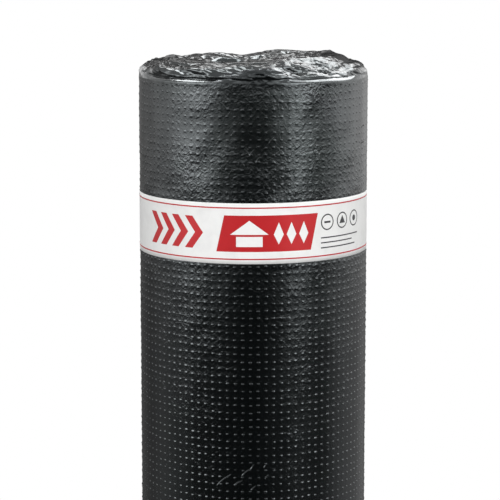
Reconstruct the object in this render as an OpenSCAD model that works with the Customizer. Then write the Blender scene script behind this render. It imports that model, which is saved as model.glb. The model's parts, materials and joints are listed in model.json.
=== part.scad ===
// Roll of bitumen roofing sheet, standing on its end.
// One long sheet is wound round an open bore. Its outer face carries a plastic film, which is
// wider than the sheet and lies folded in crumpled turns over the top end. A paper label band
// is glued round the outside. The origin is on the bore's axis, on the surface it stands on.

/* [Sheet] */
// Width of the sheet, which is the height of the standing roll
sheet_width = 1000; // [400:10:1200]
// Length of sheet that is wound up
sheet_length = 10000; // [5000:100:20000]
// Thickness of the sheet
sheet_thickness = 4; // [2:0.1:6]
// Diameter of the open bore
bore_diameter = 62; // [40:1:120]
// Direction of the sheet's outer edge, seen from above, in degrees
tail_angle = 90; // [0:5:355]

/* [Turns on the ends] */
// Width of the groove between two turns
groove_width = 0.8; // [0.3:0.1:1.5]
// Depth of the groove between two turns
groove_depth = 1.5; // [0.5:0.1:4]

/* [Facing film] */
// Height of the crumpled film above the sheet
film_rise = 24; // [12:1:40]
// Height of the film's upright wall at the rim
film_wall = 8; // [4:0.5:10]
// Height of the film round the bore
film_lip = 10; // [5:0.5:12]
// Distance that the film stays back from the bore's wall
film_setback = 9; // [3:0.5:15]

/* [Label band] */
// Height of the paper band
label_height = 60; // [30:1:120]
// Distance from the sheet's top edge down to the band
label_drop = 117; // [60:1:200]
// Thickness of the paper
label_thickness = 0.3; // [0.1:0.05:0.6]
// Clearance between the band and the sheet
label_clearance = 0.05; // [0.02:0.01:0.2]
// Length over which the band's two ends are glued together
label_lap = 40; // [20:1:80]
// Direction of that lap, counted from the sheet's outer edge, in degrees
label_lap_angle = 50; // [20:5:120]

/* [Hidden] */
$fn = 96;

bore_radius = bore_diameter / 2;
// The end of the roll has the area of the sheet's long edge
mean_radius = sqrt(pow(bore_radius, 2) + sheet_length * sheet_thickness / PI);
// Each full turn is two half turns. Their centres lie half a thickness apart, so that the second
// half turn starts where the first one ends, and ends one thickness further in than it began
centre_offset = sheet_thickness / 4;
first_radius = mean_radius + centre_offset;
second_radius = mean_radius - centre_offset;
// Length by which a cut runs past the faces that it opens
overrun = sheet_thickness;
film_mouth_radius = bore_radius + film_setback;
// Steps along the curved top of the film
film_steps = 24;
// A power under 1 sets the film's highest ring nearer to the rim than to the bore
film_crest_power = 0.75;
// Depth by which the label's straight stretch runs into the turn where the two meet
bridge_bite = 0.5;

bitumen_black = [0.05, 0.05, 0.055];
film_black = [0.09, 0.095, 0.1];
paper_white = [0.93, 0.93, 0.92];

// Radii of the lines between the turns of one half turn, from the outside in
function turn_radii(outer) =
    [for (r = outer - sheet_thickness; r > bore_radius / 2; r = r - sheet_thickness) r];

// Section of one half turn: a block from the axis to the outer face, grooved between the turns
function sheet_section(outer) =
    let (
        lines = turn_radii(outer),
        half = groove_width / 2,
        bottom = [for (i = [len(lines) - 1:-1:0])
            each [[lines[i] - half, 0], [lines[i], groove_depth], [lines[i] + half, 0]]],
        rim = [
            [outer - half, 0], [outer, groove_depth],
            [outer, sheet_width - groove_depth], [outer - half, sheet_width]
        ],
        top = [for (r = lines)
            each [[r + half, sheet_width], [r, sheet_width - groove_depth], [r - half, sheet_width]]]
    )
    concat([[0, 0]], bottom, rim, top, [[0, sheet_width]]);

// Height of the film at a share of the way in from the rim to the mouth round the bore
function film_height(inward_share) =
    let (base = film_wall + (film_lip - film_wall) * inward_share)
    base + (film_rise - base) * sin(180 * pow(inward_share, film_crest_power));

// Section of the film over one half turn: upright at the rim, crowned, and open over the bore
function film_section(outer) =
    let (depth = outer - film_mouth_radius)
    concat(
        [[film_mouth_radius - overrun, 0], [outer, 0]],
        [for (i = [0:film_steps])
            [outer - depth * i / film_steps, film_height(i / film_steps)]],
        [[film_mouth_radius - overrun, film_lip]]
    );

// Two half turns of the sections given as children, which meet in a step at the sheet's outer edge
module half_turns() {
    rotate([0, 0, tail_angle]) {
        translate([centre_offset, 0, 0])
            rotate_extrude(angle = 180)
                children(0);
        translate([-centre_offset, 0, 0])
            rotate([0, 0, 180])
                rotate_extrude(angle = 180)
                    children(1);
    }
}

// Straight stretch of a band drawn round the roll, from the step down to where it meets the turn
module bridge(grow, height) {
    high = centre_offset + first_radius + grow;
    low = second_radius + grow;
    meet_angle = acos(low / (high + centre_offset));
    end = low - bridge_bite;
    rotate([0, 0, tail_angle])
        linear_extrude(height)
            polygon([
                [-centre_offset, 0],
                [end * cos(meet_angle) - centre_offset, -end * sin(meet_angle)],
                [high, 0]
            ]);
}

// Solid inside a band that is drawn tight round the roll at a distance from it
module drawn_round(grow, height) {
    half_turns() {
        square([first_radius + grow, height]);
        square([second_radius + grow, height]);
    }
    bridge(grow, height);
}

module membrane_roll() {
    color(bitumen_black)
        difference() {
            half_turns() {
                polygon(sheet_section(first_radius));
                polygon(sheet_section(second_radius));
            }
            translate([0, 0, -overrun])
                cylinder(r = bore_radius, h = sheet_width + 2 * overrun);
        }
}

module end_film() {
    color(film_black)
        translate([0, 0, sheet_width])
            difference() {
                half_turns() {
                    polygon(film_section(first_radius));
                    polygon(film_section(second_radius));
                }
                translate([0, 0, -overrun])
                    cylinder(r = film_mouth_radius, h = film_rise + 2 * overrun);
            }
}

module label_band() {
    inside = label_clearance;
    outside = label_clearance + label_thickness;
    lap_sweep = label_lap / first_radius * 180 / PI;
    color(paper_white)
        translate([0, 0, sheet_width - label_drop - label_height]) {
            difference() {
                drawn_round(outside, label_height);
                translate([0, 0, -overrun])
                    drawn_round(inside, label_height + 2 * overrun);
            }
            rotate([0, 0, tail_angle])
                translate([centre_offset, 0, 0])
                    rotate([0, 0, label_lap_angle])
                        rotate_extrude(angle = lap_sweep)
                            translate([first_radius + inside + label_thickness / 2, 0])
                                square([1.5 * label_thickness, label_height]);
        }
}

membrane_roll();
end_film();
label_band();
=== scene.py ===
# Dresses the standing roll of roofing felt: the wound sheet with its turns, the embossed film on
# its outer face, the crumpled film over its top end, and a printed paper band.
# Units are metres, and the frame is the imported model's own.
import json
import math

import bpy
import numpy as np
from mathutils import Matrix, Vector


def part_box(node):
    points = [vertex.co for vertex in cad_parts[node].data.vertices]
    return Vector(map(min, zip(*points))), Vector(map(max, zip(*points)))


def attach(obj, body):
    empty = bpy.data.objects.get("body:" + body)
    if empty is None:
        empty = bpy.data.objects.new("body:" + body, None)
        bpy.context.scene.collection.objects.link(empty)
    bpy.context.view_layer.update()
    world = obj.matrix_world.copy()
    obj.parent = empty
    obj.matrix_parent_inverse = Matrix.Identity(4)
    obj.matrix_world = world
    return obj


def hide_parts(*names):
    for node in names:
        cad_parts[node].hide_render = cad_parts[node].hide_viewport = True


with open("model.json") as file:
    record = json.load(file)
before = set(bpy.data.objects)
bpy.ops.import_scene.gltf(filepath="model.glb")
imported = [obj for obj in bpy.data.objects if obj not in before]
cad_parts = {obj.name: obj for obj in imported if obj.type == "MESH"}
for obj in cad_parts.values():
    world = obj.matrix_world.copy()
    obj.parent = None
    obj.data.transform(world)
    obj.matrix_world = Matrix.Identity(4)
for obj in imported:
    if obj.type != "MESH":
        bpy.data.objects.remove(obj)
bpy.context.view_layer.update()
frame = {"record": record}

MM = 0.001
TAU = 2 * math.pi


# Sizes taken from the frame

roll_low, roll_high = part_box("membrane_roll")
label_low, label_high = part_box("label_band")
mounts = {mount["name"]: mount for mount in frame["record"]["mounts"]}

SHEET_WIDTH = roll_high[2] - roll_low[2]
MEAN_RADIUS = (roll_high[0] - roll_low[0]) / 2
SHEET_THICKNESS = -2 * (roll_high[0] + roll_low[0])
BORE_RADIUS = mounts["core_bore"]["dims"]["r_mm"] * MM
# The sheet's outer edge is at the back. Winds are counted from it, in radians, seen from above
TAIL_ANGLE = math.pi / 2
FRONT_WIND = math.pi
TURNS = (MEAN_RADIUS - BORE_RADIUS) / SHEET_THICKNESS


# Helpers for shapes

# Highest sum of waves that is likely, against the root of their count
WAVE_PEAK = 1.5


def spiral_radius(wind):
    """Radius of the sheet's outer face at a wind. It falls by one thickness in each turn."""
    return MEAN_RADIUS + SHEET_THICKNESS * (0.5 - wind / TAU)


def on_roll(wind, radius, height):
    """Points round the roll's axis, as an array with x, y and z last."""
    angle = TAIL_ANGLE + wind
    parts = np.broadcast_arrays(radius * np.cos(angle), radius * np.sin(angle), height)
    return np.stack(parts, axis=-1)


def grid_faces(rows, columns, start=0):
    """Quads of a grid of rows by columns points that are numbered row by row."""
    first = start + np.arange(rows - 1)[:, None] * columns + np.arange(columns - 1)[None, :]
    quads = np.stack([first, first + 1, first + columns + 1, first + columns], axis=-1)
    return quads.reshape(-1, 4)


def smooth_step(value, low, high):
    share = np.clip((value - low) / (high - low), 0.0, 1.0)
    return share * share * (3.0 - 2.0 * share)


def waves(wind, rng, count, turns, height=0.0, metres=1.0):
    """Smooth unevenness from -1 to 1: waves with whole numbers of crests round the roll."""
    total = np.zeros(np.broadcast(wind, height).shape)
    for _ in range(count):
        crests = rng.integers(-turns, turns + 1)
        slope = rng.uniform(-1, 1) * TAU / metres
        total = total + np.sin(crests * wind + slope * height + rng.uniform(0, TAU))
    return total / count ** 0.5 / WAVE_PEAK


def new_object(name, data):
    thing = bpy.data.objects.new(name, data)
    bpy.context.scene.collection.objects.link(thing)
    return thing


def new_piece(name, points, faces, materials, uv=None, slots=None):
    """A mesh object that rides on the roll. uv is one for each point, and slots are one for each face."""
    mesh = bpy.data.meshes.new(name)
    mesh.from_pydata(points.reshape(-1, 3).tolist(), [], [list(face) for face in faces])
    for material in materials:
        mesh.materials.append(material)
    if uv is not None:
        layer = mesh.uv_layers.new(name="cells")
        corners = np.zeros(len(mesh.loops), dtype=np.int32)
        mesh.loops.foreach_get("vertex_index", corners)
        layer.data.foreach_set("uv", uv.reshape(-1, 2)[corners].astype(np.float32).ravel())
    if slots is not None:
        mesh.polygons.foreach_set("material_index", np.array(slots, dtype=np.int32))
    mesh.polygons.foreach_set("use_smooth", [True] * len(mesh.polygons))
    mesh.update()
    piece = new_object(name, mesh)
    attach(piece, "root")
    return piece


# Helpers for materials

def new_material(name):
    """A material, its shader and the point that is shaded."""
    material = bpy.data.materials.new(name)
    material.use_nodes = True
    nodes = material.node_tree.nodes
    return material, nodes["Principled BSDF"], nodes.new("ShaderNodeTexCoord").outputs["Object"]


def fill(node, inputs):
    """Sets a node's inputs. Each is a value or another node's socket."""
    for name, value in inputs.items():
        if isinstance(value, bpy.types.NodeSocket):
            node.id_data.links.new(value, node.inputs[name])
        else:
            node.inputs[name].default_value = value


def add_node(kind, inputs, **settings):
    """A node with its settings and inputs, in the tree that its inputs come from."""
    sockets = [value for value in inputs.values() if isinstance(value, bpy.types.NodeSocket)]
    node = sockets[0].id_data.nodes.new(kind)
    for name, value in settings.items():
        setattr(node, name, value)
    fill(node, inputs)
    return node


def noise(vector, scale, detail=2.0, roughness=0.5, distortion=0.0):
    """Values from 0 to 1 of a noise with a scale in cells per metre."""
    inputs = {"Vector": vector, "Scale": scale, "Detail": detail}
    inputs.update({"Roughness": roughness, "Distortion": distortion})
    return add_node("ShaderNodeTexNoise", inputs).outputs["Fac"]


def spread(value, source, target=(0.0, 1.0), kind="LINEAR"):
    """A value brought from one range to another, and kept inside it."""
    inputs = {"Value": value, "From Min": source[0], "From Max": source[1]}
    inputs.update({"To Min": target[0], "To Max": target[1]})
    return add_node("ShaderNodeMapRange", inputs, interpolation_type=kind).outputs["Result"]


def smooth_spread(value, source, target=(0.0, 1.0)):
    return spread(value, source, target, "SMOOTHSTEP")


def math_node(operation, first, second=0.0):
    return add_node("ShaderNodeMath", {0: first, 1: second}, operation=operation).outputs[0]


def times(product, *factors):
    for factor in factors:
        product = math_node("MULTIPLY", product, factor)
    return product


def bump(height, distance, strength=1.0, normal=None):
    inputs = {"Height": height, "Distance": distance, "Strength": strength}
    if normal is not None:
        inputs["Normal"] = normal
    return add_node("ShaderNodeBump", inputs).outputs["Normal"]


def mixed(share, first, second, kind="FLOAT"):
    inputs = {"Factor": share, "A": first, "B": second}
    return add_node("ShaderNodeMix", inputs, data_type=kind).outputs["Result"]


def length_of(vector):
    return add_node("ShaderNodeVectorMath", {0: vector}, operation="LENGTH").outputs["Value"]


def parts_of(vector):
    return add_node("ShaderNodeSeparateXYZ", {"Vector": vector}).outputs


def stretched(vector, upward):
    """A vector whose height is scaled, so that a noise gets longer or shorter up the roll."""
    inputs = {"Vector": vector, "Scale": (1, 1, upward)}
    return add_node("ShaderNodeMapping", inputs).outputs["Vector"]


# Embossed dots of the facing film: their number round the roll and up it, and their shape

DOT_COLUMNS = 96
DOT_ROWS = 136
DOT_SIDES = 6
DOT_HEIGHT = 0.58 * MM
DOT_BUMP = 0.15 * MM
# Half of a dot's width and height, as shares of the distance from one dot to the next
DOT_WIDTH_SHARE = 0.25
DOT_TALL_SHARE = 0.20
# Least and most size of a dot against that, its furthest drift as a share of that distance, and the share
# of the drift that is left where the film isn't slack
DOT_SIZES = (0.80, 1.15)
DOT_DRIFT_SHARE = 0.09
FIRM_DRIFT_SHARE = 0.8
# Height of a dot's foot and of the ribs that link the dots, as shares of a dot's height, and half of a
# rib's width as a share of the distance from one dot to the next
DOT_FOOT_SHARE = 0.08
RIB_SHARE = 0.08
RIB_WIDTH_SHARE = 0.2
# Height of the film above the sheet's face, between the dots
FILM_STAND = 0.1 * MM
WALL_UNEVEN = 0.30 * MM
# Heights between which the film changes: it gets more grain and gets slack, its dots get weaker, its
# grain gets weaker over the label, and stronger again under the rim
GRAIN_HEIGHTS = (0.74 * SHEET_WIDTH, 0.91 * SHEET_WIDTH)
SLACK_HEIGHTS = (0.70 * SHEET_WIDTH, 0.93 * SHEET_WIDTH)
WEAK_DOT_HEIGHTS = (0.80 * SHEET_WIDTH, 0.9 * SHEET_WIDTH)
OVER_LABEL_HEIGHTS = (0.925 * SHEET_WIDTH, 0.945 * SHEET_WIDTH)
UNDER_RIM_HEIGHTS = (0.965 * SHEET_WIDTH, 0.985 * SHEET_WIDTH)


# Materials

FILM_BLACK = (0.0007, 0.0011, 0.0012, 1)
FILM_SHEEN = (0.90, 0.98, 1.0, 1)
# Values between which most of a noise lies, and those between which a surface goes from clean to smeared
# or dusty, a fleece gets bare, and the film on the wall gets loose
MOST_NOISE = (0.3, 0.7)
SMEARED = (0.35, 0.7)
DUSTY = (0.45, 0.8)
BARE = (0.35, 0.65)
LOOSE = (0.44, 0.62)
WALL_ROUGHNESS = (0.10, 0.18)
CRUMPLE_ROUGHNESS = (0.07, 0.16)
# Strength of the wall's grain at its foot and its top, and where it is strongest, and where it is firm
GRAIN_STRENGTHS = (0.55, 1.0)
STRONG_GRAIN = 1.9
FIRM_GRAIN = 0.6
# Bump of the dots in weak and strong patches, and the share of it that is left where the grain is full
DOT_PATCHES = (0.45, 1.15)
GRAINED_DOT_SHARE = 0.2
# Distance by which the crumpled film's cells are bent
CELL_BEND = 6 * MM
# Cosine of the angle from face on past which the crumpled film's gloss is weakened, and by which power
GRAZING_COSINE = 0.6
GRAZING_POWER = 4.2
PLAIN_GLOSS = 0.5
# Heights from the sheet's edge between which the film at the rim starts and stops mirroring as the wall
RIM_GLOSS_BELOW = (-6 * MM, -4 * MM)
RIM_GLOSS_ABOVE = (5 * MM, 11 * MM)
BITUMEN_BLACK = (0.010, 0.010, 0.011, 1)
BITUMEN_WORN = (0.024, 0.023, 0.022, 1)
BITUMEN_ROUGHNESS = (0.75, 0.5)
FLEECE_GREY = (0.055, 0.054, 0.050, 1)
FLEECE_ROUGHNESS = 0.85
GRANULE_GREYS = (0.012, 0.075)
GRANULE_ROUGHNESS = 0.8
PAPER_WHITE = (0.86, 0.86, 0.85, 1)
PAPER_ROUGHNESS = 0.42
PAPER_GLOSS = 0.3
# Brightness of dusty paper against clean paper, and how far its roughness varies down and up
DUSTY_SHARE = 0.9
DUST_ROUGHNESS = (-0.05, 0.08)
INK_RED = (0.47, 0.012, 0.016, 1)
INK_BLACK = (0.022, 0.022, 0.024, 1)
INK_ROUGHNESS = 0.36


def dot_relief(nodes):
    """Heights from 0 to 1 of the embossed dots, with faint ribs between them, from the cell map."""
    cells = nodes.new("ShaderNodeUVMap")
    cells.uv_map = "cells"
    place = parts_of(cells.outputs["UV"])
    aside, above = [math_node("SUBTRACT", math_node("FRACT", place[axis]), 0.5) for axis in "XY"]
    wide = math_node("DIVIDE", aside, DOT_WIDTH_SHARE)
    tall = math_node("DIVIDE", above, DOT_TALL_SHARE)
    off_middle = add_node("ShaderNodeCombineXYZ", {"X": wide, "Y": tall}).outputs["Vector"]
    relief = smooth_spread(length_of(off_middle), (0.0, 1.0), (1.0, 0.0))
    for offset in (above, aside):
        off_rib = math_node("ABSOLUTE", offset)
        rib = smooth_spread(off_rib, (0.0, RIB_WIDTH_SHARE), (RIB_SHARE, 0.0))
        relief = math_node("MAXIMUM", relief, rib)
    return relief


def facing_film_material():
    """Glossy black film, bonded to the sheet and embossed, with fine wrinkles where it is loose."""
    material, shader, point = new_material("facing_film")
    smear = noise(stretched(point, 0.5), scale=14, detail=4, roughness=0.6)
    height = parts_of(point)["Z"]
    slack = smooth_spread(height, GRAIN_HEIGHTS, GRAIN_STRENGTHS)
    patches = spread(noise(point, scale=22), MOST_NOISE, DOT_PATCHES)
    ungrained = spread(slack, GRAIN_STRENGTHS, (1.0, GRAINED_DOT_SHARE))
    dots = bump(times(dot_relief(material.node_tree.nodes), patches, ungrained), DOT_BUMP)
    loose = smooth_spread(noise(point, scale=28), LOOSE, (FIRM_GRAIN, 1.0))
    over_label = smooth_spread(height, OVER_LABEL_HEIGHTS, (STRONG_GRAIN, 1.0))
    under_rim = smooth_spread(height, UNDER_RIM_HEIGHTS, (1.0, STRONG_GRAIN))
    folds = noise(stretched(point, 0.8), scale=290, roughness=0.55, distortion=1.0)
    grain = times(folds, loose, slack, over_label, under_rim)
    fill(shader, {
        "Base Color": FILM_BLACK, "Specular Tint": FILM_SHEEN,
        "Roughness": spread(smear, SMEARED, WALL_ROUGHNESS),
        "Normal": bump(grain, distance=0.24 * MM, normal=dots)})
    return material


def crumpled_film_material():
    """The same film where it is loose, with small sharp creases."""
    material, shader, point = new_material("crumpled_film")
    smear = noise(point, scale=40, detail=3, roughness=0.6)
    bent = add_node("ShaderNodeTexNoise", {"Vector": point, "Scale": 90, "Detail": 2})
    bend = {0: bent.outputs["Color"], 1: (CELL_BEND,) * 3}
    bend = add_node("ShaderNodeVectorMath", bend, operation="MULTIPLY").outputs[0]
    moved = add_node("ShaderNodeVectorMath", {0: point, 1: bend}, operation="ADD").outputs[0]
    cells = add_node("ShaderNodeTexVoronoi", {"Vector": moved, "Scale": 190}, feature="F1")
    creased = bump(cells.outputs["Distance"], distance=0.4 * MM, strength=0.4)
    fine = noise(point, scale=500)
    # Fine creases break up the mirror at grazing angles, so that it is no brighter there than face on.
    # The film that stands up smooth at the rim has none
    facing = material.node_tree.nodes.new("ShaderNodeLayerWeight").outputs["Facing"]
    cosine = math_node("SUBTRACT", 1.0, facing)
    weaker = math_node("POWER", math_node("DIVIDE", cosine, GRAZING_COSINE), GRAZING_POWER)
    level = math_node("SUBTRACT", parts_of(point)["Z"], SHEET_WIDTH)
    from_wall = smooth_spread(level, RIM_GLOSS_BELOW)
    to_top = smooth_spread(level, RIM_GLOSS_ABOVE, (1.0, 0.0))
    at_rim = times(from_wall, to_top)
    share = math_node("MAXIMUM", math_node("MINIMUM", weaker, 1.0), at_rim)
    fill(shader, {
        "Base Color": FILM_BLACK, "Specular Tint": FILM_SHEEN,
        "Roughness": spread(smear, SMEARED, CRUMPLE_ROUGHNESS),
        "Specular IOR Level": times(share, PLAIN_GLOSS),
        "Normal": bump(fine, distance=0.15 * MM, strength=0.4, normal=creased)})
    return material


def bitumen_material():
    """Cut edge of the sheet: rough bitumen."""
    material, shader, point = new_material("bitumen_edge")
    blotch = noise(point, scale=120, detail=4, roughness=0.6)
    worn = spread(blotch, SMEARED)
    rough = noise(point, scale=700, detail=3, roughness=0.6)
    fill(shader, {
        "Base Color": mixed(worn, BITUMEN_BLACK, BITUMEN_WORN, "RGBA"),
        "Roughness": spread(blotch, MOST_NOISE, BITUMEN_ROUGHNESS),
        "Normal": bump(rough, distance=0.5 * MM, strength=0.7)})
    return material


def fleece_material():
    """The reinforcing fleece, which shows as a pale line in the middle of the cut edge."""
    material, shader, point = new_material("fleece_line")
    threads = noise(point, scale=600, detail=3, roughness=0.7)
    bare = spread(threads, BARE)
    fill(shader, {
        "Base Color": mixed(bare, BITUMEN_BLACK, FLEECE_GREY, "RGBA"),
        "Roughness": FLEECE_ROUGHNESS,
        "Normal": bump(threads, distance=0.4 * MM, strength=0.7)})
    return material


def granule_material():
    """Inner face of the sheet, strewn with dark mineral granules."""
    material, shader, point = new_material("mineral_granules")
    stones = add_node("ShaderNodeTexVoronoi", {"Vector": point, "Scale": 620}, feature="F1").outputs
    tint = spread(stones["Color"], (0, 1), GRANULE_GREYS)
    grey = add_node("ShaderNodeCombineColor", {"Red": tint, "Green": tint, "Blue": tint})
    lumps = math_node("SUBTRACT", 1.0, stones["Distance"])
    fill(shader, {
        "Base Color": grey.outputs["Color"], "Roughness": GRANULE_ROUGHNESS,
        "Normal": bump(lumps, distance=0.9 * MM)})
    return material


def paper_material(name, colour, roughness):
    """Coated paper or ink on it, with a little waviness and dust."""
    material, shader, point = new_material(name)
    dust = noise(point, scale=60, detail=4, roughness=0.6)
    dulled = spread(dust, DUSTY)
    dusty = tuple(DUSTY_SHARE * part for part in colour[:3]) + (1,)
    waviness = noise(stretched(point, 0.4), scale=35)
    wavy = bump(waviness, distance=0.8 * MM, strength=0.25)
    fibres = noise(point, scale=900)
    fill(shader, {
        "Base Color": mixed(dulled, colour, dusty, "RGBA"),
        "Roughness": spread(dust, MOST_NOISE, [roughness + change for change in DUST_ROUGHNESS]),
        "Specular IOR Level": PAPER_GLOSS,
        "Normal": bump(fibres, distance=0.08 * MM, strength=0.3, normal=wavy)})
    return material


facing_film = facing_film_material()
crumpled_film = crumpled_film_material()
bitumen = bitumen_material()
fleece = fleece_material()
granules = granule_material()
paper = paper_material("label_paper", PAPER_WHITE, PAPER_ROUGHNESS)
red_ink = paper_material("red_ink", INK_RED, INK_ROUGHNESS)
black_ink = paper_material("black_ink", INK_BLACK, INK_ROUGHNESS)


# The film on the roll's outer face, embossed in a grid of dots

# Distance from the label's edges within which the film is pressed flat
LABEL_PRESS = 8 * MM
# Share of the unevenness that is left where the film isn't slack, and those of broad and narrow bulges
FIRM_SHARE = 0.35
BROAD_SHARE = 0.6
NARROW_SHARE = 0.5
# Shares of a dot's weakening that come below and just over the label, and its height's loss at most
WEAK_BELOW_SHARE = 0.55
WEAK_OVER_SHARE = 0.45
WEAK_DOT_LOSS = 0.42
# Strength of the dots in weak patches and what strong patches add, its random part, and its limits
PATCH_STRENGTH = 0.60
PATCH_GAIN = 0.55
DOT_STRENGTHS = (0.40, 1.35)
DOT_STRENGTH_LIMITS = (0.10, 1.3)


def wall_unevenness(wind, height):
    """Slow bulges of the film, stronger near the sheet's top edge, where it is looser."""
    rng = np.random.default_rng(11)
    loose = FIRM_SHARE + (1 - FIRM_SHARE) * smooth_step(height, *SLACK_HEIGHTS)
    off_label = np.maximum(label_low[2] - height, height - label_high[2])
    loose = loose * smooth_step(off_label, 0.0, LABEL_PRESS)
    broad = waves(wind, rng, count=9, turns=14, height=height, metres=0.09)
    narrow = waves(wind, rng, count=12, turns=30, height=height, metres=0.028)
    return WALL_UNEVEN * loose * (BROAD_SHARE * broad + NARROW_SHARE * narrow)


def dot_strength(wind, height, rng):
    """How far each dot stands out. Dots near the top edge and under slack film are weaker."""
    slack = WEAK_BELOW_SHARE * smooth_step(height, *WEAK_DOT_HEIGHTS)
    slack = slack + WEAK_OVER_SHARE * smooth_step(height, *OVER_LABEL_HEIGHTS)
    patchy = 0.5 + 0.5 * waves(wind, rng, count=10, turns=9, height=height, metres=0.12)
    strength = (1.0 - WEAK_DOT_LOSS * slack) * (PATCH_STRENGTH + PATCH_GAIN * patchy)
    strength = strength * rng.uniform(*DOT_STRENGTHS, wind.shape)
    reach = DOT_TALL_SHARE * SHEET_WIDTH / DOT_ROWS
    under_label = (height + reach > label_low[2]) & (height - reach < label_high[2])
    return np.where(under_label, 0.0, np.clip(strength, *DOT_STRENGTH_LIMITS))


def build_facing_film():
    rng = np.random.default_rng(5)
    pitch_wind = TAU / DOT_COLUMNS
    pitch_height = SHEET_WIDTH / DOT_ROWS
    row, column = np.indices((DOT_ROWS, DOT_COLUMNS))
    corner_row, corner_column = np.indices((DOT_ROWS + 1, DOT_COLUMNS + 1))

    def wall_points(wind, height, lift):
        radius = spiral_radius(wind) + FILM_STAND + wall_unevenness(wind, height) + lift
        return on_roll(wind, radius, height)

    corners = wall_points(corner_column * pitch_wind, corner_row * pitch_height, 0.0)
    slack = smooth_step((row + 0.5) * pitch_height, *SLACK_HEIGHTS)
    drift = DOT_DRIFT_SHARE * (FIRM_DRIFT_SHARE + (1 - FIRM_DRIFT_SHARE) * slack)
    middle_wind = (column + 0.5 + drift * rng.uniform(-1, 1, row.shape)) * pitch_wind
    middle_height = (row + 0.5 + drift * rng.uniform(-1, 1, row.shape)) * pitch_height
    dot_size = rng.uniform(*DOT_SIZES, row.shape)
    lift = DOT_HEIGHT * dot_strength(middle_wind, middle_height, rng)
    # Points: the cells' corners, the dots' tops and the rings round the dots, with their places in cells
    points = [corners, wall_points(middle_wind, middle_height, lift)]
    cells = [np.stack([corner_column, corner_row], axis=-1), np.stack([column + 0.5, row + 0.5], axis=-1)]
    for side in range(DOT_SIDES):
        turn = TAU * side / DOT_SIDES
        wide = DOT_WIDTH_SHARE * math.cos(turn)
        tall = DOT_TALL_SHARE * math.sin(turn)
        wind = middle_wind + dot_size * wide * pitch_wind
        height = middle_height + dot_size * tall * pitch_height
        points.append(wall_points(wind, height, DOT_FOOT_SHARE * lift))
        cells.append(np.stack([column + 0.5 + wide, row + 0.5 + tall], axis=-1))
    points = np.concatenate([part.reshape(-1, 3) for part in points])
    cells = np.concatenate([part.reshape(-1, 2) for part in cells])

    # Numbers of the points of each cell: its corners, its dot's top and the ring round the dot
    low_left = row * (DOT_COLUMNS + 1) + column
    low_right = low_left + 1
    high_left = low_left + DOT_COLUMNS + 1
    high_right = high_left + 1
    cell = row * DOT_COLUMNS + column
    top = corner_row.size + cell
    ring = [corner_row.size + (1 + side) * cell.size + cell for side in range(DOT_SIDES)]
    triangles = [(top, ring[side], ring[(side + 1) % DOT_SIDES]) for side in range(DOT_SIDES)]
    triangles += [
        (ring[0], low_right, high_right), (ring[0], high_right, ring[1]),
        (ring[1], high_right, high_left), (ring[1], high_left, ring[2]),
        (ring[2], high_left, ring[3]), (ring[3], high_left, low_left),
        (ring[3], low_left, ring[4]), (ring[4], low_left, low_right),
        (ring[4], low_right, ring[5]), (ring[5], low_right, ring[0]),
    ]
    # Rows that the label hides have no dots
    hidden = (row * pitch_height > label_low[2]) & ((row + 1) * pitch_height < label_high[2])
    plain = [(low_left, low_right, high_right), (low_left, high_right, high_left)]
    faces = [np.stack(corners_of, axis=-1)[~hidden] for corners_of in triangles]
    faces += [np.stack(corners_of, axis=-1)[hidden] for corners_of in plain]
    piece = new_piece("facing_film", points, np.concatenate(faces), [facing_film], cells)
    # The dots' outlines are sharp, so that the film between them stays flat in its shading
    mesh = piece.data
    ends = np.zeros(2 * len(mesh.edges), dtype=np.int32)
    mesh.edges.foreach_get("vertices", ends)
    on_ring = ends.reshape(-1, 2).min(axis=1) >= corner_row.size + cell.size
    mesh.attributes.new("sharp_edge", "BOOLEAN", "EDGE").data.foreach_set("value", on_ring)


# Pinched creases of the film on the wall. Each has the azimuth of its middle and its direction up from
# level to the right, in degrees, and its height and its length, in mm. These show in the photograph. The
# others have random places round the rest of the roll

CREASES = (
    (-3.4, -55, 932, 9), (-1.2, 55, 932, 10), (1.5, 60, 925, 8), (-6, -50, 922, 8),
    (28.5, 38, 929, 12), (31, 38, 931, 13), (33, 40, 928, 12), (31.5, 38, 925, 11),
    (-62, -42, 991, 9), (-58.5, -42, 990, 9), (-17.5, -50, 983, 9), (-15, -50, 978, 10),
    (-13, -45, 984, 8), (-16, -52, 970, 8), (-10, 40, 951, 8), (8, 55, 944, 9),
    (14, -48, 958, 8), (20, 50, 915, 9), (40, 40, 948, 9), (-27, 45, 918, 8),
    (-38, -4, 767, 18), (-38, -3, 758, 20), (-37, -5, 745, 24), (12, 2, 768, 14), (18, 4, 767, 11),
    (33, 35, 808, 10), (36, 35, 803, 10), (-15, 40, 603, 22), (-4, 42, 612, 14),
    (-8, 30, 601, 12), (-1, 62, 617, 9), (5.5, 60, 619, 8), (6, 58, 607, 7), (-0.5, 45, 596, 8),
)
MORE_CREASES = 90
# Share of them on the film above the label, and the heights of the film above and below it, in mm
CREASES_ABOVE_SHARE = 0.2
CREASED_ABOVE = (895, 990)
CREASED_BELOW = (20, 800)
# Azimuths between which they lie, their directions and how far they turn from them, in degrees, and
# their lengths in mm
CREASED_AZIMUTHS = (65, 295)
CREASE_DIRECTIONS = (-48, 0, 42)
CREASE_TURN = 12
CREASE_LENGTHS = (6, 15)
CREASE_STEPS = 8
CREASE_WIDTH = 1.5 * MM
CREASE_HEIGHT = 0.45 * MM
# Depth of a crease's edges in the film, and its bend as a share of its length
CREASE_SINK = 0.06 * MM
CREASE_BEND_SHARE = 0.08
CREASE_ACROSS = np.linspace(-1, 1, 7)


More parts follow.
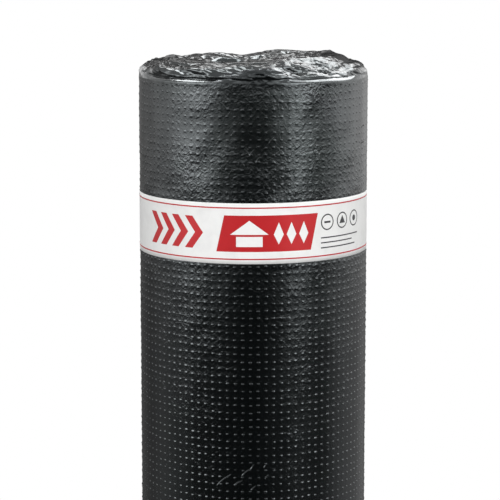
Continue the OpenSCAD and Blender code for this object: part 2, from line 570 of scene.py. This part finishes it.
def build_creases():
    rng = np.random.default_rng(43)
    creases = list(CREASES)
    for _ in range(MORE_CREASES):
        low, high = CREASED_ABOVE if rng.random() < CREASES_ABOVE_SHARE else CREASED_BELOW
        direction = rng.choice(CREASE_DIRECTIONS) + rng.uniform(-CREASE_TURN, CREASE_TURN)
        azimuth = rng.uniform(*CREASED_AZIMUTHS)
        height = rng.uniform(low, high)
        creases.append((azimuth, direction, height, rng.uniform(*CREASE_LENGTHS)))
    along = np.linspace(-0.5, 0.5, CREASE_STEPS + 1)[None, :]
    taper = 1 - (2 * along) ** 2
    profile = ((1 - CREASE_ACROSS ** 2) ** 2)[:, None]
    lift = (CREASE_HEIGHT + CREASE_SINK) * profile * taper - CREASE_SINK
    points = []
    faces = []
    for azimuth, direction, height, length in creases:
        turn = math.radians(direction)
        forward = along * length * MM
        aside = CREASE_ACROSS[:, None] * CREASE_WIDTH / 2 + CREASE_BEND_SHARE * length * MM * taper
        wind = FRONT_WIND + math.radians(azimuth)
        wind = wind + (forward * math.cos(turn) - aside * math.sin(turn)) / MEAN_RADIUS
        level = height * MM + forward * math.sin(turn) + aside * math.cos(turn)
        radius = spiral_radius(np.mod(wind, TAU)) + FILM_STAND + wall_unevenness(wind, level) + lift
        faces.extend(grid_faces(len(CREASE_ACROSS), CREASE_STEPS + 1, sum(len(part) for part in points)))
        points.append(on_roll(wind, radius, level).reshape(-1, 3))
    piece = new_piece("film_creases", np.concatenate(points), faces, [crumpled_film])


# The wound sheet: its turns on both ends, its bore and its outer edge

TURN_STEPS = 72
# Points across the edge of the sheet, from its outer face in, with their depths below the edge
EDGE_SHARES = (0.02, 0.12, 0.30, 0.44, 0.56, 0.72, 0.88, 0.98)
EDGE_DEPTHS = (1.5 * MM, 0.35 * MM, 0.0, 0.05 * MM, 0.05 * MM, 0.0, 0.35 * MM, 1.5 * MM)
FLEECE_STRIP = 3
# How far turns stand below the ends, how often that swells and sinks, and the raggedness of the cut
TELESCOPE = 0.7 * MM
TELESCOPE_SWELLS = 2.1
RAGGED_CUT = 0.12 * MM
BORE_ROWS = 40


def turn_edge(height, inward, seed):
    """Points of one end of the sheet along all its turns. inward is 1 if the sheet lies above."""
    rng = np.random.default_rng(seed)
    winds = np.linspace(0, TAU * TURNS, int(TURNS * TURN_STEPS))
    shift = np.abs(waves(winds, rng, count=8, turns=6))
    shift = shift + np.abs(np.sin(winds / TAU * TELESCOPE_SWELLS + rng.uniform(0, TAU)))
    rows = []
    for share, depth in zip(EDGE_SHARES, EDGE_DEPTHS):
        ragged = rng.uniform(0, RAGGED_CUT, winds.shape)
        level = height + inward * (depth + 0.5 * TELESCOPE * shift + ragged)
        radius = np.maximum(spiral_radius(winds) - share * SHEET_THICKNESS, BORE_RADIUS)
        rows.append(on_roll(winds, radius, level))
    return np.stack(rows)


def build_wound_sheet():
    points = []
    faces = []
    slots = []

    def add(grid, slot_of_row, flip):
        rows, columns = grid.shape[:2]
        quads = grid_faces(rows, columns, sum(len(part) for part in points))
        points.append(grid.reshape(-1, 3))
        faces.extend(quads[:, ::-1] if flip else quads)
        slots.extend(np.repeat(slot_of_row, columns - 1))

    bitumen_slot, fleece_slot, granule_slot = range(3)
    edge_slots = [bitumen_slot] * (len(EDGE_SHARES) - 1)
    edge_slots[FLEECE_STRIP] = fleece_slot
    add(turn_edge(0.0, 1, 21), edge_slots, False)
    add(turn_edge(SHEET_WIDTH, -1, 22), edge_slots, True)

    bore_winds = np.linspace(0, TAU, TURN_STEPS + 1)
    bore_heights = np.linspace(EDGE_DEPTHS[1], SHEET_WIDTH - EDGE_DEPTHS[1], BORE_ROWS)
    bore = on_roll(bore_winds[None, :], BORE_RADIUS, bore_heights[:, None])
    add(bore, [granule_slot] * (BORE_ROWS - 1), True)

    # The sheet's outer edge, a cut face that steps from one turn down to the next
    tail_heights = np.linspace(0, SHEET_WIDTH, BORE_ROWS)
    tail_radii = spiral_radius(0.0) - np.array(EDGE_SHARES) * SHEET_THICKNESS
    tail = on_roll(np.zeros((1, BORE_ROWS)), tail_radii[:, None], tail_heights[None, :])
    add(tail, edge_slots, True)

    materials = [bitumen, fleece, granules]
    piece = new_piece("wound_sheet", np.concatenate(points), faces, materials, slots=slots)
    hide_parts("membrane_roll")


# The crumpled film over the top end

CRUMPLE_COLUMNS = 560
# Rows of points over the rim, which are close together, and over the rest of the film
RIM_ROWS = 44
TOP_ROWS = 124
RIM_LENGTH = 13 * MM
# Sections of the film from the rim in, in mm: distance in from the sheet's face, and height above its
# edge. The film stands upright at the rim, low or tall, or is rounded, or stands back behind a ledge,
# or slants in from a ledge
FOOT = ((-0.1, -4), (-0.2, -1))
INNER_SECTION = (
    (24, 20.6), (35, 22.5), (50, 21), (62, 16.5), (71, 10.5), (77, 5), (79.5, 0.6))
UPRIGHT_SECTION = (
    *FOOT, (0, 1), (0.3, 3.5), (0.8, 6), (1.6, 8.2), (4, 10.4), (8, 12.4),
    (13.5, 15.8), *INNER_SECTION)
TALL_SECTION = (
    *FOOT, (-0.1, 1), (0, 4), (0.1, 7), (0.3, 10), (1, 13), (4.4, 15.8),
    (13, 18.4), *INNER_SECTION)
ROUNDED_SECTION = (
    *FOOT, (0, 1), (0.3, 3.5), (1, 5.8), (2.4, 8), (4.2, 10.4), (6.6, 13),
    (10, 15), (15, 16.8), *INNER_SECTION)
SET_BACK_SECTION = (
    *FOOT, (0, 0.4), (2.2, 2.3), (5, 2.6), (2.4, 4.8), (2.9, 7.6), (3.5, 11),
    (4.6, 13.8), (8, 15.6), (15, 17.4), *INNER_SECTION)
SLANTING_SECTION = (
    *FOOT, (0, 0.4), (2, 2.3), (3.2, 2.8), (3, 3.6), (6.5, 6.8), (11, 10.8),
    (15.5, 14.6), (19, 17.6), *INNER_SECTION)
# Stretches of the rim where it isn't upright: the azimuths of their ends, in degrees, and their section
RIM_STRETCHES = (
    (-66, -14, SET_BACK_SECTION), (-9, 13, TALL_SECTION), (16, 60, SLANTING_SECTION),
    (72, 100, ROUNDED_SECTION), (112, 150, SLANTING_SECTION), (-165, -100, SET_BACK_SECTION))
# Nets of creases: cells round the roll, cells across the film, height, the share of the roughness
# round the roll that the net follows, and the share of its height that is left on the flat top
CREASE_NETS = (
    (26, 9, 2.6 * MM, 0.9, 0.9), (40, 14, 1.6 * MM, 0.9, 0.6), (44, 30, 0.7 * MM, 0.8, 0.2),
    (74, 23, 1.2 * MM, 0.7, 0.3), (160, 46, 0.45 * MM, 0.3, 0.2),
)
# One more net on the right, where the film is crumpled like foil: its cells, its height and its ends
FOIL_CELLS = (190, 56)
FOIL_HEIGHT = 0.6 * MM
FOIL_ENDS = (14, 62)
# Azimuths in degrees between which the film follows the sheet's outer face further in, and the distances
# along its section between which it stops following it
FOLLOW_ENDS = (-135, 135)
FOLLOW_PLACES = (12 * MM, 40 * MM)
# Azimuths in degrees, and how rough the film is there
ROUGHNESS = (
    (-180, 0.85), (-110, 0.70), (-75, 0.40), (-25, 0.42), (-4, 0.30), (8, 0.35), (16, 1.05),
    (25, 1.15), (60, 1.15), (68, 0.20), (98, 0.20), (114, 0.90), (180, 0.85),
)
# Folds and crevices that show in the photograph. Each has the azimuths of its ends, in degrees, and in
# mm their distances in from the rim, its height and its width
FOLDS = (
    (-66, -28, 17, 18, 1.8, 7), (-30, -8, 37, 38, 3.8, 7), (12, 28, 11, 12, 2.4, 7),
    (14, 62, 24, 26, 2.2, 9), (-100, -50, 28, 28, 1.8, 9), (-115, -62, 14, 14, 2.4, 7),
    (66, 116, 16, 16, -2.2, 8), (-15, -2, 11, 11, 2.4, 13),
)
CREVICES = (
    (-66, -34, 15, 15, 1.6, 1.2), (-28, -8, 33, 33, 3, 2), (12, 30, 8, 9, 3, 1.6),
    (-20, 16, 20, 20, 1.6, 2),
)
# Crevices with random places where the photograph doesn't show them: where they start and how far they
# run, in degrees, and in mm their distance in from the rim, how far it shifts, their depth and width
MORE_CREVICES = 16
CREVICE_STARTS = (100, 260)
CREVICE_RUNS = (25, 70)
CREVICE_PLACES = (10, 70)
CREVICE_SHIFTS = (-6, 6)
CREVICE_DEPTHS = (1.5, 3.5)
CREVICE_WIDTHS = (1.5, 3.0)
# How far a crevice wavers, as a share of its distance in from the rim
CREVICE_WAVER = 0.08
FOLD_END_DEGREES = 9
# Share of a fold's width on its outer side, which is the steep one
STEEP_SHARE = 0.4
# Height of the crest as a share of the sections', what it gains to the right, and its waves. It holds
# in full above the second of two heights
CREST_SHARE = 0.92
CREST_RIGHT_SHARE = 0.09
CREST_WAVE_SHARE = 0.02
CREST_HEIGHTS = (12 * MM, 21 * MM)
# The crest is lower at one place near the back
DIP_SHARE = 0.20
DIP_AZIMUTH = 187
DIP_DEGREES = 13
# Distances along the section between which the film gets loose, and distances in from the rim between
# which it gets flat
LOOSE_PLACES = (6.5 * MM, 10 * MM)
FLAT_DEPTHS = (10 * MM, 20 * MM)
# Distances along the section in mm, and how far creases may stand out there
MOST_LIFT = ((0, 0.2), (6, 0.9), (11, 2.0), (22, 6.0))
# Furthest shift of a corner in a net of creases, in cells
NET_JITTER = 0.46
LEAST_AREA = 1e-9
FACET_MARGIN = 1e-6


def along_section(section):
    """Points along a smoothed section, close together over the rim, and their distances along it."""
    corners = np.array(section) * MM
    for _ in range(2):
        quarter = 0.75 * corners[:-1] + 0.25 * corners[1:]
        three_quarter = 0.25 * corners[:-1] + 0.75 * corners[1:]
        cut = np.stack([quarter, three_quarter], axis=1).reshape(-1, 2)
        corners = np.concatenate([corners[:1], cut, corners[-1:]])
    lengths = np.concatenate([[0], np.cumsum(np.hypot(*np.diff(corners, axis=0).T))])
    over_rim = np.linspace(0, RIM_LENGTH, RIM_ROWS, endpoint=False)
    places = np.concatenate([over_rim, np.linspace(RIM_LENGTH, lengths[-1], TOP_ROWS)])
    inward = np.interp(places, lengths, corners[:, 0])
    height = np.interp(places, lengths, corners[:, 1])
    return inward, height, places


def crease_net(places, cells_round, cells_across, rng):
    """Heights from -1 to 1 on the film's points: flat facets between the corners of a net."""
    rows = len(places)
    net_row, net_column = np.indices((cells_across + 3, cells_round + 3)) - 1
    jitter = rng.uniform(-NET_JITTER, NET_JITTER, (2, cells_across + 3, cells_round))
    corner_height = rng.uniform(-1, 1, (cells_across + 3, cells_round))
    wrapped = net_column % cells_round
    across = (net_row + jitter[0][net_row + 1, wrapped]) / cells_across
    across = np.interp(across, places / places[-1], np.arange(rows), left=-1, right=rows)
    around = (net_column + jitter[1][net_row + 1, wrapped]) / cells_round * CRUMPLE_COLUMNS
    level = corner_height[net_row + 1, wrapped]
    heights = np.zeros((rows, CRUMPLE_COLUMNS))
    for i in range(net_row.shape[0] - 1):
        for j in range(net_row.shape[1] - 1):
            diagonal = (i, j + 1), (i + 1, j)
            for apex in ((i, j), (i + 1, j + 1)):
                fill_facet(heights, [(across[c], around[c], level[c]) for c in (apex, *diagonal)])
    return heights


def fill_facet(heights, corners):
    """Writes one flat facet into the grid."""
    (ay, ax, az), (by, bx, bz), (cy, cx, cz) = corners
    rows, columns = heights.shape
    low_row = max(0, math.floor(min(ay, by, cy)))
    high_row = min(rows - 1, math.ceil(max(ay, by, cy)))
    low_col = max(0, math.floor(min(ax, bx, cx)))
    high_col = min(columns - 1, math.ceil(max(ax, bx, cx)))
    area = (bx - ax) * (cy - ay) - (cx - ax) * (by - ay)
    if low_row > high_row or low_col > high_col or abs(area) < LEAST_AREA:
        return
    y = np.arange(low_row, high_row + 1)[:, None]
    x = np.arange(low_col, high_col + 1)[None, :]
    to_b = ((x - ax) * (cy - ay) - (cx - ax) * (y - ay)) / area
    to_c = ((bx - ax) * (y - ay) - (x - ax) * (by - ay)) / area
    inside = np.minimum(np.minimum(to_b, to_c), 1 - to_b - to_c) >= -FACET_MARGIN
    part = heights[low_row:high_row + 1, low_col:high_col + 1]
    part[inside] = (az + to_b * (bz - az) + to_c * (cz - az))[inside]


def turned(azimuth, degrees):
    """Azimuths in degrees counted from another one, from -180 to 180."""
    return (azimuth - degrees + 180) % 360 - 180


def end_weight(azimuth, start, end):
    """A row of weights from 0 to 1, full between two azimuths and fading past them."""
    half = (end - start) / 2
    off_middle = np.abs(turned(azimuth, (start + end) / 2))[None, :]
    return 1 - smooth_step(off_middle, half - FOLD_END_DEGREES, half + FOLD_END_DEGREES)


def stroke(azimuth, depth, ends, places):
    """Signed distance in from a line across the film, and a weight that fades at the line's ends."""
    along = turned(azimuth, (ends[0] + ends[1]) / 2)
    half = (ends[1] - ends[0]) / 2
    line = np.interp(along, (-half, half), places)
    return depth - line[None, :] * MM, end_weight(azimuth, *ends)


def fold_lift(azimuth, depth, fold):
    """A fold with a steep outer side and a gentle inner one."""
    gap, weight = stroke(azimuth, depth, fold[:2], fold[2:4])
    width = fold[5] * MM * np.where(gap < 0, STEEP_SHARE, 1.0)
    return fold[4] * MM * weight * np.exp(-(gap / width) ** 2)


def crevice_lift(azimuth, depth, crevice, waver):
    gap, weight = stroke(azimuth, depth, crevice[:2], crevice[2:4])
    gap = gap + waver[None, :]
    return -crevice[4] * MM * weight * np.exp(-np.abs(gap) / (crevice[5] * MM))


def build_crumpled_film():
    rng = np.random.default_rng(31)
    upright_in, upright_height, places = along_section(UPRIGHT_SECTION)
    winds = np.linspace(0, TAU, CRUMPLE_COLUMNS + 1)[:-1]
    azimuth = np.degrees(winds - FRONT_WIND)
    right = np.sin(winds - FRONT_WIND)
    inward = upright_in[:, None]
    height = upright_height[:, None]
    for start, end, section in RIM_STRETCHES:
        section_in, section_height, _ = along_section(section)
        weight = end_weight(azimuth, start, end)
        inward = inward + (section_in - upright_in)[:, None] * weight
        height = height + (section_height - upright_height)[:, None] * weight

    rise = CREST_SHARE + CREST_RIGHT_SHARE * right
    rise = rise - DIP_SHARE * np.exp(-(turned(azimuth, DIP_AZIMUTH) / DIP_DEGREES) ** 2)
    rise = rise + CREST_WAVE_SHARE * waves(winds, rng, count=6, turns=9)
    raised = smooth_step(height, *CREST_HEIGHTS) * (rise - 1.0)[None, :] + 1.0

    # How loose the film is: none where it leaves the wall, full above the rim
    loose = smooth_step(places, *LOOSE_PLACES)[:, None]
    rough = np.interp(azimuth, *np.array(ROUGHNESS).T)
    lift = np.zeros_like(inward)
    depth = np.maximum.accumulate(inward, axis=0)
    for cells_round, cells_across, size, follow, on_top in CREASE_NETS:
        net = crease_net(places, cells_round, cells_across, rng)
        kept = np.interp(depth, FLAT_DEPTHS, (1.0, on_top))
        lift += size * net * kept * (1 + follow * (rough - 1))[None, :]
    foil = crease_net(places, *FOIL_CELLS, rng)
    lift += FOIL_HEIGHT * foil * end_weight(azimuth, *FOIL_ENDS)
    for fold in FOLDS:
        lift += fold_lift(azimuth, depth, fold)
    crevices = list(CREVICES)
    for _ in range(MORE_CREVICES):
        start = rng.uniform(*CREVICE_STARTS)
        place, _ = rng.uniform(*CREVICE_PLACES, 2)
        ends = (start, start + rng.uniform(*CREVICE_RUNS), place, place + rng.uniform(*CREVICE_SHIFTS))
        crevices.append((*ends, rng.uniform(*CREVICE_DEPTHS), rng.uniform(*CREVICE_WIDTHS)))
    for crevice in crevices:
        waver = waves(winds, rng, count=7, turns=24)
        lift += crevice_lift(azimuth, depth, crevice, CREVICE_WAVER * crevice[2] * MM * waver)
    lift *= loose
    # The film over the rim stays behind the wall's face
    most = np.interp(places, *(np.array(MOST_LIFT).T * MM))
    lift = np.minimum(lift, most[:, None])

    run = np.gradient(inward, places, axis=0)
    climb = np.gradient(height, places, axis=0)
    length = np.hypot(run, climb)
    radius = spiral_radius(np.pi) - inward + climb / length * lift
    level = SHEET_WIDTH + height * raised + run / length * lift
    # Follows the sheet's outer face round the roll near the rim, and further in away from its outer edge
    further = smooth_step(places, *FOLLOW_PLACES)[:, None]
    free = loose + (further - loose) * end_weight(azimuth, *FOLLOW_ENDS)
    radius = radius + (spiral_radius(winds) - spiral_radius(np.pi))[None, :] * (1 - free)
    points = on_roll(winds[None, :], radius, level)

    index = np.arange(points.shape[0] * points.shape[1]).reshape(points.shape[:2])
    ahead = np.roll(index, -1, axis=1)
    faces = np.stack([index[:-1], ahead[:-1], ahead[1:], index[1:]], axis=-1).reshape(-1, 4)
    piece = new_piece("crumpled_film", points, faces, [crumpled_film])
    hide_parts("end_film")


# The paper band, with a plain printed design that comes twice round the roll

LABEL_HEIGHT = label_high[2] - label_low[2]
LABEL_STAND = 0.35 * MM
LABEL_LAP = 40 * MM
LABEL_LAP_WIND = math.radians(50)
# Turn over which the band climbs on to its own start at the lap, in radians
LABEL_CLIMB = 0.06
LABEL_PAPER = 0.3 * MM
LABEL_TILT = 0.5 * MM
LABEL_COLUMNS = 256
LABEL_ROWS = 13
INK_LAYER = 0.03 * MM
DESIGN_LENGTH = math.pi * MEAN_RADIUS
STRIP_LENGTH = TAU * MEAN_RADIUS / LABEL_COLUMNS
LABEL_CRESTS = (3, 5, 8, 13, 21, 34)
LABEL_WAVE = 0.04 * MM


def box_outline(left, right, low, high, slant=0.0):
    return [(left, low), (right, low), (right + slant, high), (left + slant, high)]


def disc_outline(along, up, radius, sides=28):
    turns = [TAU * side / sides for side in range(sides)]
    return [(along + radius * math.cos(turn), up + radius * math.sin(turn)) for turn in turns]


def label_design():
    """Printed outlines: ink, layer, and points in mm along the band, from its middle, and up it."""
    prints = []

    def add(ink, layer, *outlines):
        prints.extend((ink, layer, outline) for outline in outlines)

    half = DESIGN_LENGTH / MM / 2
    add("red", 1, *[box_outline(-half, half, low, low + 1.3) for low in (4.0, 54.7)])
    # Arrowheads that show which way the sheet unrolls
    for i in range(4):
        left = -124 + 17 * i
        add("red", 1, [(left + 12, 30), (left + 21, 30), (left + 9, 46), (left, 46)])
        add("red", 1, [(left, 14), (left + 9, 14), (left + 21, 30), (left + 12, 30)])
    # Panel with a house and drops
    add("red", 1, box_outline(-38, 58, 12, 48, 8))
    add("paper", 2, [(-24, 29), (14, 29), (-5, 43)], box_outline(-18, 8, 17, 27))
    for i in range(3):
        middle = 24 + 13 * i
        add("paper", 2, [(middle, 19), (middle + 5, 29), (middle, 41), (middle - 5, 29)])
    # Rings with simple signs, over fine lines
    for i in range(3):
        middle = 78 + 21 * i
        add("black", 1, disc_outline(middle, 38, 8.2))
        add("paper", 2, disc_outline(middle, 38, 6.9))
    add("black", 3, box_outline(74, 82, 37, 39), [(94.5, 35), (103.5, 35), (99, 43)])
    add("black", 3, disc_outline(120, 38, 3))
    for i, length in enumerate((58, 46, 52)):
        add("black", 1, box_outline(70, 70 + length, 22 - 5 * i, 23.2 - 5 * i))
    return prints


def label_radius(wind):
    """Radius of the sheet under the band, which crosses the step at the sheet's outer edge."""
    wind = np.mod(wind, TAU)
    high = spiral_radius(0.0)
    meet = math.acos(spiral_radius(TAU) / high)
    straight = high * math.cos(meet) / np.cos(np.clip(meet - (TAU - wind), -meet, meet))
    return np.where(wind > TAU - meet, np.maximum(spiral_radius(wind), straight), spiral_radius(wind))


def on_label(wind, up, lift):
    """Points on the band, at a height above its lower edge and a distance off its face."""
    lapped = smooth_step(wind, LABEL_LAP_WIND + TAU - LABEL_CLIMB, LABEL_LAP_WIND + TAU)
    wavy = LABEL_WAVE * sum(np.sin(crests * wind + crests ** 2) for crests in LABEL_CRESTS)
    radius = label_radius(wind) + LABEL_STAND + LABEL_PAPER * lapped + wavy + lift
    return on_roll(wind, radius, label_low[2] + up + LABEL_TILT * np.sin(wind - FRONT_WIND))


def clipped(outline, limit, side):
    """Part of a convex outline to the right of an upright line, or to its left if side is -1."""
    kept = []
    for (x, y), (next_x, next_y) in zip(outline, outline[1:] + outline[:1]):
        if side * (x - limit) >= 0:
            kept.append((x, y))
        if (x - limit) * (next_x - limit) < 0:
            share = (limit - x) / (next_x - x)
            kept.append((limit, y + share * (next_y - y)))
    return kept


def build_label():
    winds = LABEL_LAP_WIND + np.linspace(0, TAU + LABEL_LAP / MEAN_RADIUS, LABEL_COLUMNS)[None, :]
    levels = np.linspace(0, LABEL_HEIGHT, LABEL_ROWS)[:, None]
    face = on_label(winds, levels, 0.0)
    low_edge = on_label(winds, levels[:1], -LABEL_PAPER)
    high_edge = on_label(winds, levels[-1:], -LABEL_PAPER)
    points = np.concatenate([low_edge, face, high_edge])
    piece = new_piece("label_band_paper", points, grid_faces(LABEL_ROWS + 2, LABEL_COLUMNS), [paper])
    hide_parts("label_band")

    inks = {"paper": 0, "red": 1, "black": 2}
    points = []
    faces = []
    slots = []
    for repeat in (0, 1):
        for ink, layer, outline in label_design():
            outline = [(along * MM, up * MM) for along, up in outline]
            first = math.floor(min(along for along, _ in outline) / STRIP_LENGTH)
            last = math.ceil(max(along for along, _ in outline) / STRIP_LENGTH)
            for strip in range(first, last):
                part = clipped(outline, strip * STRIP_LENGTH, 1)
                part = clipped(part, (strip + 1) * STRIP_LENGTH, -1)
                if len(part) < 3:
                    continue
                along, up = np.array(part).T
                wind = FRONT_WIND + (along + repeat * DESIGN_LENGTH) / MEAN_RADIUS
                faces.append([len(points) + i for i in range(len(part))])
                points.extend(on_label(wind, up, INK_LAYER * layer))
                slots.append(inks[ink])
    materials = [paper, red_ink, black_ink]
    printed = new_piece("label_print", np.array(points), faces, materials, slots=slots)


build_facing_film()
build_creases()
build_wound_sheet()
build_crumpled_film()
build_label()


# Camera: level with the photograph's, and tipped down instead of shifted

FRAME_PIXELS = 500
SENSOR = 36.0
PIXELS_PER_METRE = 963.0
CAMERA_DISTANCE = 2.071
CAMERA_HEIGHT = SHEET_WIDTH + 0.142
CAMERA_TIP = math.radians(8.87)
ROLL_MIDDLE_PIXEL = 253.2

focal_pixels = PIXELS_PER_METRE * CAMERA_DISTANCE / math.cos(CAMERA_TIP)
camera_data = bpy.data.cameras.new("camera")
camera_data.sensor_width = SENSOR
camera_data.lens = focal_pixels / FRAME_PIXELS * SENSOR
camera = new_object("camera", camera_data)
roll_middle = (roll_low[0] + roll_high[0]) / 2
off_middle = (ROLL_MIDDLE_PIXEL - FRAME_PIXELS / 2) / PIXELS_PER_METRE
camera.location = (roll_middle - off_middle, -CAMERA_DISTANCE, CAMERA_HEIGHT)
camera.rotation_euler = (math.pi / 2 - CAMERA_TIP, 0, 0)
bpy.context.scene.camera = camera


# Lamps. Azimuths are counted from the camera's side, to the right as the camera sees it

# Each entry has a name, an azimuth in degrees, the distance from the roll's axis, the height and the size
# in metres, and the brightness. The key light is for rough surfaces, and the others show in gloss alone
KEY_LIGHT = ("front_key", 4, 1.6, 1.9, (1.2, 1.0), 5.0)
KEY_TARGET = 0.85
SOFTBOXES = (
    ("front_right_spot", 36, 1.35, 2.3, (0.4, 0.3), 10.0),
    ("overhead_softbox", -60, 0.4, 2.4, (0.5, 0.5), 11.0),
    ("left_top_softbox", -105, 0.8, 2.15, (0.9, 0.4), 15.0),
    ("back_top_softbox", 166, 1.1, 2.3, (2.0, 0.4), 8.0),
    ("back_low_softbox", -168, 1.5, 1.5, (0.9, 0.2), 3.0),
    ("back_right_softbox", 126, 1.3, 2.25, (1.8, 1.2), 8.0),
    ("right_top_softbox", 90, 0.75, 2.3, (0.8, 0.7), 6.5),
)
SOFTBOX_TARGET = 1.0


def add_lamp(entry, target_height, for_gloss):
    """A lamp that faces the roll's axis at a height."""
    name, azimuth, distance, height, size, radiance = entry
    data = bpy.data.lights.new(name, "AREA")
    data.shape = "RECTANGLE"
    data.size, data.size_y = size
    data.energy = radiance * math.pi * size[0] * size[1]
    lamp = new_object(name, data)
    turn = math.radians(azimuth)
    lamp.location = (distance * math.sin(turn), -distance * math.cos(turn), height)
    target = Vector((0, 0, target_height))
    lamp.rotation_euler = (target - lamp.location).to_track_quat("-Z", "Y").to_euler()
    lamp.visible_camera = False
    lamp.visible_glossy = for_gloss
    lamp.visible_diffuse = not for_gloss


add_lamp(KEY_LIGHT, KEY_TARGET, for_gloss=False)
for softbox in SOFTBOXES:
    add_lamp(softbox, SOFTBOX_TARGET, for_gloss=True)


# World: white to the camera. Glossy surfaces see soft lights at the roll's sides, darker walls behind
# it and a dark room in front. Each entry is an azimuth in degrees and the brightness there. The rows
# are for directions below the roll's level, at it, just above it and higher up

GLOW_BELOW = (
    (-180, 0.08), (-133, 0.16), (-100, 0.40), (-76, 0.30), (-58, 0.12), (-30, 0.06), (0, 0.04),
    (25, 0.10), (45, 0.18), (68, 0.15), (105, 0.55), (137, 0.40), (180, 0.08),
)
GLOW_LEVEL = (
    (-180, 0.20), (-150, 0.25), (-128, 0.60), (-108, 1.4), (-62, 3.6), (-38, 1.6), (-20, 0.35),
    (-8, 0.13), (12, 0.13), (22, 0.45), (43, 3.8), (66, 0.95), (96, 2.4), (116, 2.0), (140, 1.0),
    (180, 0.20),
)
GLOW_ABOVE = (
    (-180, 0.8), (-148, 1.6), (-124, 1.2), (-100, 2.6), (-60, 10.0), (-24, 2.6), (0, 1.8), (22, 2.6),
    (45, 11.0), (70, 4.2), (100, 3.8), (124, 2.0), (148, 2.2), (180, 0.8),
)
GLOW_HIGH = (
    (-180, 0.8), (-148, 1.2), (-100, 1.2), (-60, 1.8), (-24, 1.0), (0, 0.8), (22, 1.0), (45, 1.8),
    (70, 1.4), (100, 1.8), (148, 2.0), (180, 0.8),
)
GLOW_OVERHEAD = 1.4
GLOW_MOST = 12.0
# Heights of a direction between which the brightness goes over from one row to the next
BELOW_TO_LEVEL = (-0.175, -0.095)
LEVEL_TO_ABOVE = (-0.06, 0.06)
ABOVE_TO_HIGH = (0.16, 0.34)
HIGH_TO_OVERHEAD = (0.45, 0.80)
AMBIENT = 0.62


def glow_ramp(azimuth_share, stops):
    """Brightness at an azimuth, which is given as a share of the way from -180 to 180 degrees."""
    node = add_node("ShaderNodeValToRGB", {"Fac": azimuth_share})
    ramp = node.color_ramp
    ramp.interpolation = "EASE"
    for degrees, _ in stops[1:-1]:
        ramp.elements.new((degrees + 180) / 360)
    for element, (_, glow) in zip(ramp.elements, stops):
        element.color = (glow / GLOW_MOST,) * 3 + (1,)
    return times(node.outputs["Color"], GLOW_MOST)


def studio_glow(direction):
    """What a glossy surface sees of the studio in a direction."""
    place = parts_of(direction)
    azimuth = math_node("ARCTAN2", place["X"], times(place["Y"], -1.0))
    share = spread(azimuth, (-math.pi, math.pi))
    rows = [glow_ramp(share, stops) for stops in (GLOW_BELOW, GLOW_LEVEL, GLOW_ABOVE, GLOW_HIGH)]
    rows.append(GLOW_OVERHEAD)
    limits = (BELOW_TO_LEVEL, LEVEL_TO_ABOVE, ABOVE_TO_HIGH, HIGH_TO_OVERHEAD)
    glow = rows[0]
    for row, heights in zip(rows[1:], limits):
        raised = smooth_spread(place["Z"], heights)
        glow = mixed(raised, glow, row)
    return glow


def build_world():
    world = bpy.data.worlds.new("studio")
    bpy.context.scene.world = world
    world.use_nodes = True
    # Light for glossy surfaces differs from light for rough ones, so rays find it by themselves
    world.cycles.sampling_method = "NONE"
    nodes = world.node_tree.nodes
    path = nodes.new("ShaderNodeLightPath").outputs
    direction = nodes.new("ShaderNodeTexCoord").outputs["Generated"]
    clear = math_node("MAXIMUM", path["Is Glossy Ray"], path["Is Transmission Ray"])
    around = mixed(clear, AMBIENT, studio_glow(direction))
    strength = mixed(path["Is Camera Ray"], around, 1.0)
    fill(nodes["Background"], {"Color": (1, 1, 1, 1), "Strength": strength})


build_world()


# Floor: pale near the roll, where it keeps the shadow. It fades out into the white further away

FLOOR_RADIUS = 1.0
FLOOR_SIDES = 128
FLOOR_PALE = (0.90, 0.90, 0.90, 1)
FLOOR_ROUGHNESS = 0.9
# Distances from the roll's axis between which it fades
FLOOR_FADE = (0.2, 0.95)


def build_floor():
    data = bpy.data.meshes.new("floor")
    rim = [(x, y, 0) for x, y in disc_outline(0, 0, FLOOR_RADIUS, FLOOR_SIDES)]
    data.from_pydata(rim, [], [list(range(FLOOR_SIDES))])
    floor = new_object("floor", data)
    material, shader, point = new_material("floor_pale")
    data.materials.append(material)
    nodes = material.node_tree.nodes
    fill(shader, {"Base Color": FLOOR_PALE, "Roughness": FLOOR_ROUGHNESS})
    far = smooth_spread(length_of(point), FLOOR_FADE)
    clear = nodes.new("ShaderNodeBsdfTransparent").outputs[0]
    blend = add_node("ShaderNodeMixShader", {0: far, 1: shader.outputs[0], 2: clear})
    fill(nodes["Material Output"], {"Surface": blend.outputs[0]})


build_floor()

bpy.context.scene.view_settings.view_transform = "Standard"
